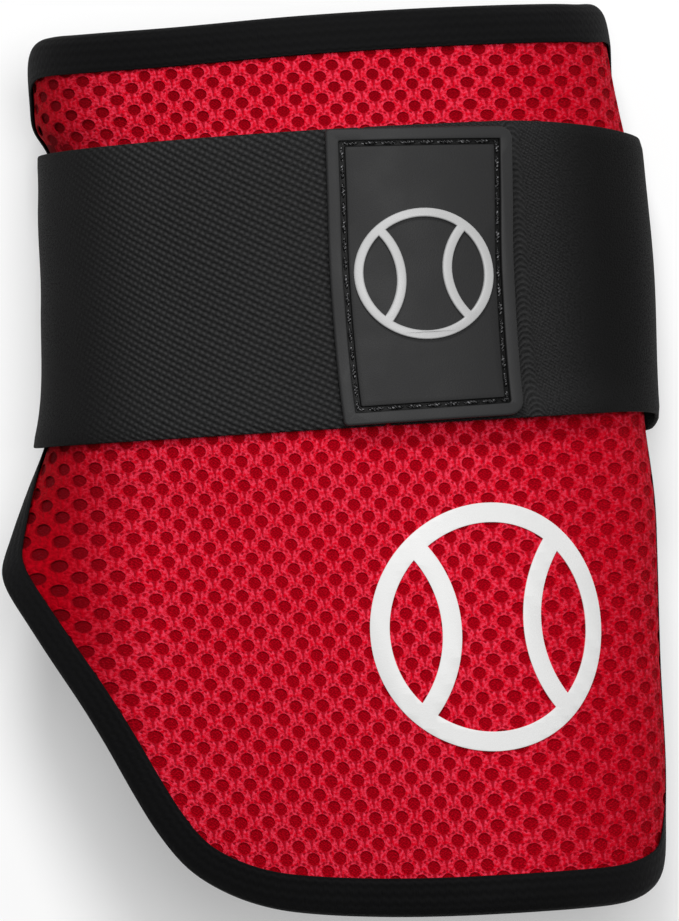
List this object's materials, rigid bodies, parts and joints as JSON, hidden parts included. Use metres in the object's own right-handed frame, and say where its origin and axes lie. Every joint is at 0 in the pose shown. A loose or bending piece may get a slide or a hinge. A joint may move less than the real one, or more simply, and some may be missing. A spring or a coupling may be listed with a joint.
{
  "type": "baseball elbow guard",
  "caption": "Padded elbow guard: domed red mesh-covered shell with black edge binding, wide elastic strap, loop strap and rubber pull tab.",
  "frame": {"origin": "middle of the footprint, on the surface that the strap lies on", "axes": "+Y along the arm toward the upper-arm end, +Z from the strap's back toward the outer face, +X across the arm toward the loop strap"},
  "size_m": [0.1464, 0.1957, 0.0786],
  "materials": {
    "red_mesh": "open air mesh",
    "pad_lining": "matt lining",
    "binding_tape": "smooth knitted tape",
    "elastic": "ribbed elastic",
    "loop_cloth": "brushed loop",
    "hook_plate": "hook",
    "tab_rubber": "fine matt grain",
    "emblem_film": "satin silver grey"
  },
  "bodies": {
    "root": {"mesh_cover": "red_mesh", "shell_pad": "pad_lining", "edge_binding": "binding_tape", "elastic_strap": "elastic", "loop_strap": "loop_cloth", "hook_patch": "hook_plate", "pull_tab": "tab_rubber", "tab_emblem": "emblem_film"}
  },
  "joints": []
}
